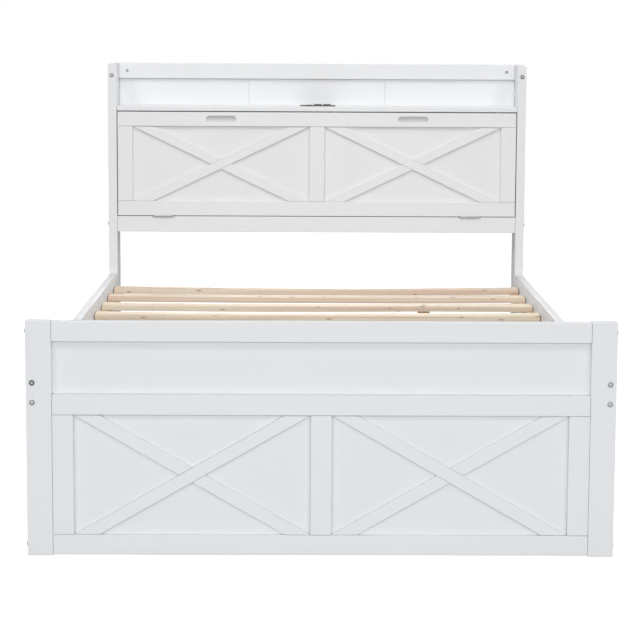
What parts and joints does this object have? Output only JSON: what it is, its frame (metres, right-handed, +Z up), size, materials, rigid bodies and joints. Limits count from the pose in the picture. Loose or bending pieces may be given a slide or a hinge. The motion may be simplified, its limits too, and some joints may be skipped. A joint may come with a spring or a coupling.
{
  "type": "bed with storage headboard",
  "caption": "Platform bed with a framed footboard, slatted base and shallow headboard cabinet with open shelf, power socket and bottom-hinged flap door.",
  "frame": {"origin": "on the floor, under the middle of the bed's outer box", "axes": "+X across the bed, to the right as seen from the foot end; +Y along the bed from the footboard to the headboard; +Z up"},
  "size_m": [1.45, 2.088, 1.181],
  "materials": {
    "white_paint": "satin white paint on solid wood and board",
    "pine": "planed unfinished pine",
    "leg_pine": "planed unfinished pine, darker",
    "hinge_steel": "nickel-plated steel",
    "socket_black": "black moulded plastic, semi-gloss",
    "catch_plastic": "grey moulded plastic"
  },
  "bodies": {
    "bed_frame": {"back_board_centre": "white_paint", "back_board_left": "white_paint", "back_board_right": "white_paint", "compartment_floor": "white_paint", "door_catch_left": "catch_plastic", "door_catch_right": "catch_plastic", "footboard_bottom_rail": "white_paint", "footboard_halved_brace_left": "white_paint", "footboard_halved_brace_right": "white_paint", "footboard_lower_panel": "white_paint", "footboard_middle_rail": "white_paint", "footboard_post_left": "white_paint", "footboard_post_right": "white_paint", "footboard_stile_centre": "white_paint", "footboard_stile_left": "white_paint", "footboard_stile_right": "white_paint", "footboard_through_brace_left": "white_paint", "footboard_through_brace_right": "white_paint", "footboard_top_rail": "white_paint", "footboard_upper_panel": "white_paint", "headboard_bottom_rail": "white_paint", "headboard_post_left": "white_paint", "headboard_post_right": "white_paint", "headboard_top_rail": "white_paint", "hinge_fixed_leaf_left": "hinge_steel", "hinge_fixed_leaf_right": "hinge_steel", "hinge_pin_left": "hinge_steel", "hinge_pin_right": "hinge_steel", "power_socket": "socket_black", "shelf_board": "white_paint", "side_rail_left": "white_paint", "side_rail_right": "white_paint", "slat_01": "pine", "slat_02": "pine", "slat_03": "pine", "slat_04": "pine", "slat_05": "pine", "slat_06": "pine", "slat_07": "pine", "slat_08": "pine", "slat_09": "pine", "slat_10": "pine", "slat_cleat_left": "pine", "slat_cleat_right": "pine", "support_leg_slat_03": "leg_pine", "support_leg_slat_05": "leg_pine", "support_leg_slat_06": "leg_pine", "support_leg_slat_08": "leg_pine"},
    "flap_door": {"door_bottom_rail": "white_paint", "door_halved_brace_left": "white_paint", "door_halved_brace_right": "white_paint", "door_panel": "white_paint", "door_stile_centre": "white_paint", "door_stile_left": "white_paint", "door_stile_right": "white_paint", "door_through_brace_left": "white_paint", "door_through_brace_right": "white_paint", "door_top_rail": "white_paint", "hinge_door_leaf_left": "hinge_steel", "hinge_door_leaf_right": "hinge_steel"}
  },
  "joints": [
    {"name": "door_hinge", "type": "hinge", "parent": "bed_frame", "child": "flap_door", "pos_m": [0, 0.93259, 0.6513], "axis": [1, 0, 0], "range_deg": [0, 90]}
  ]
}
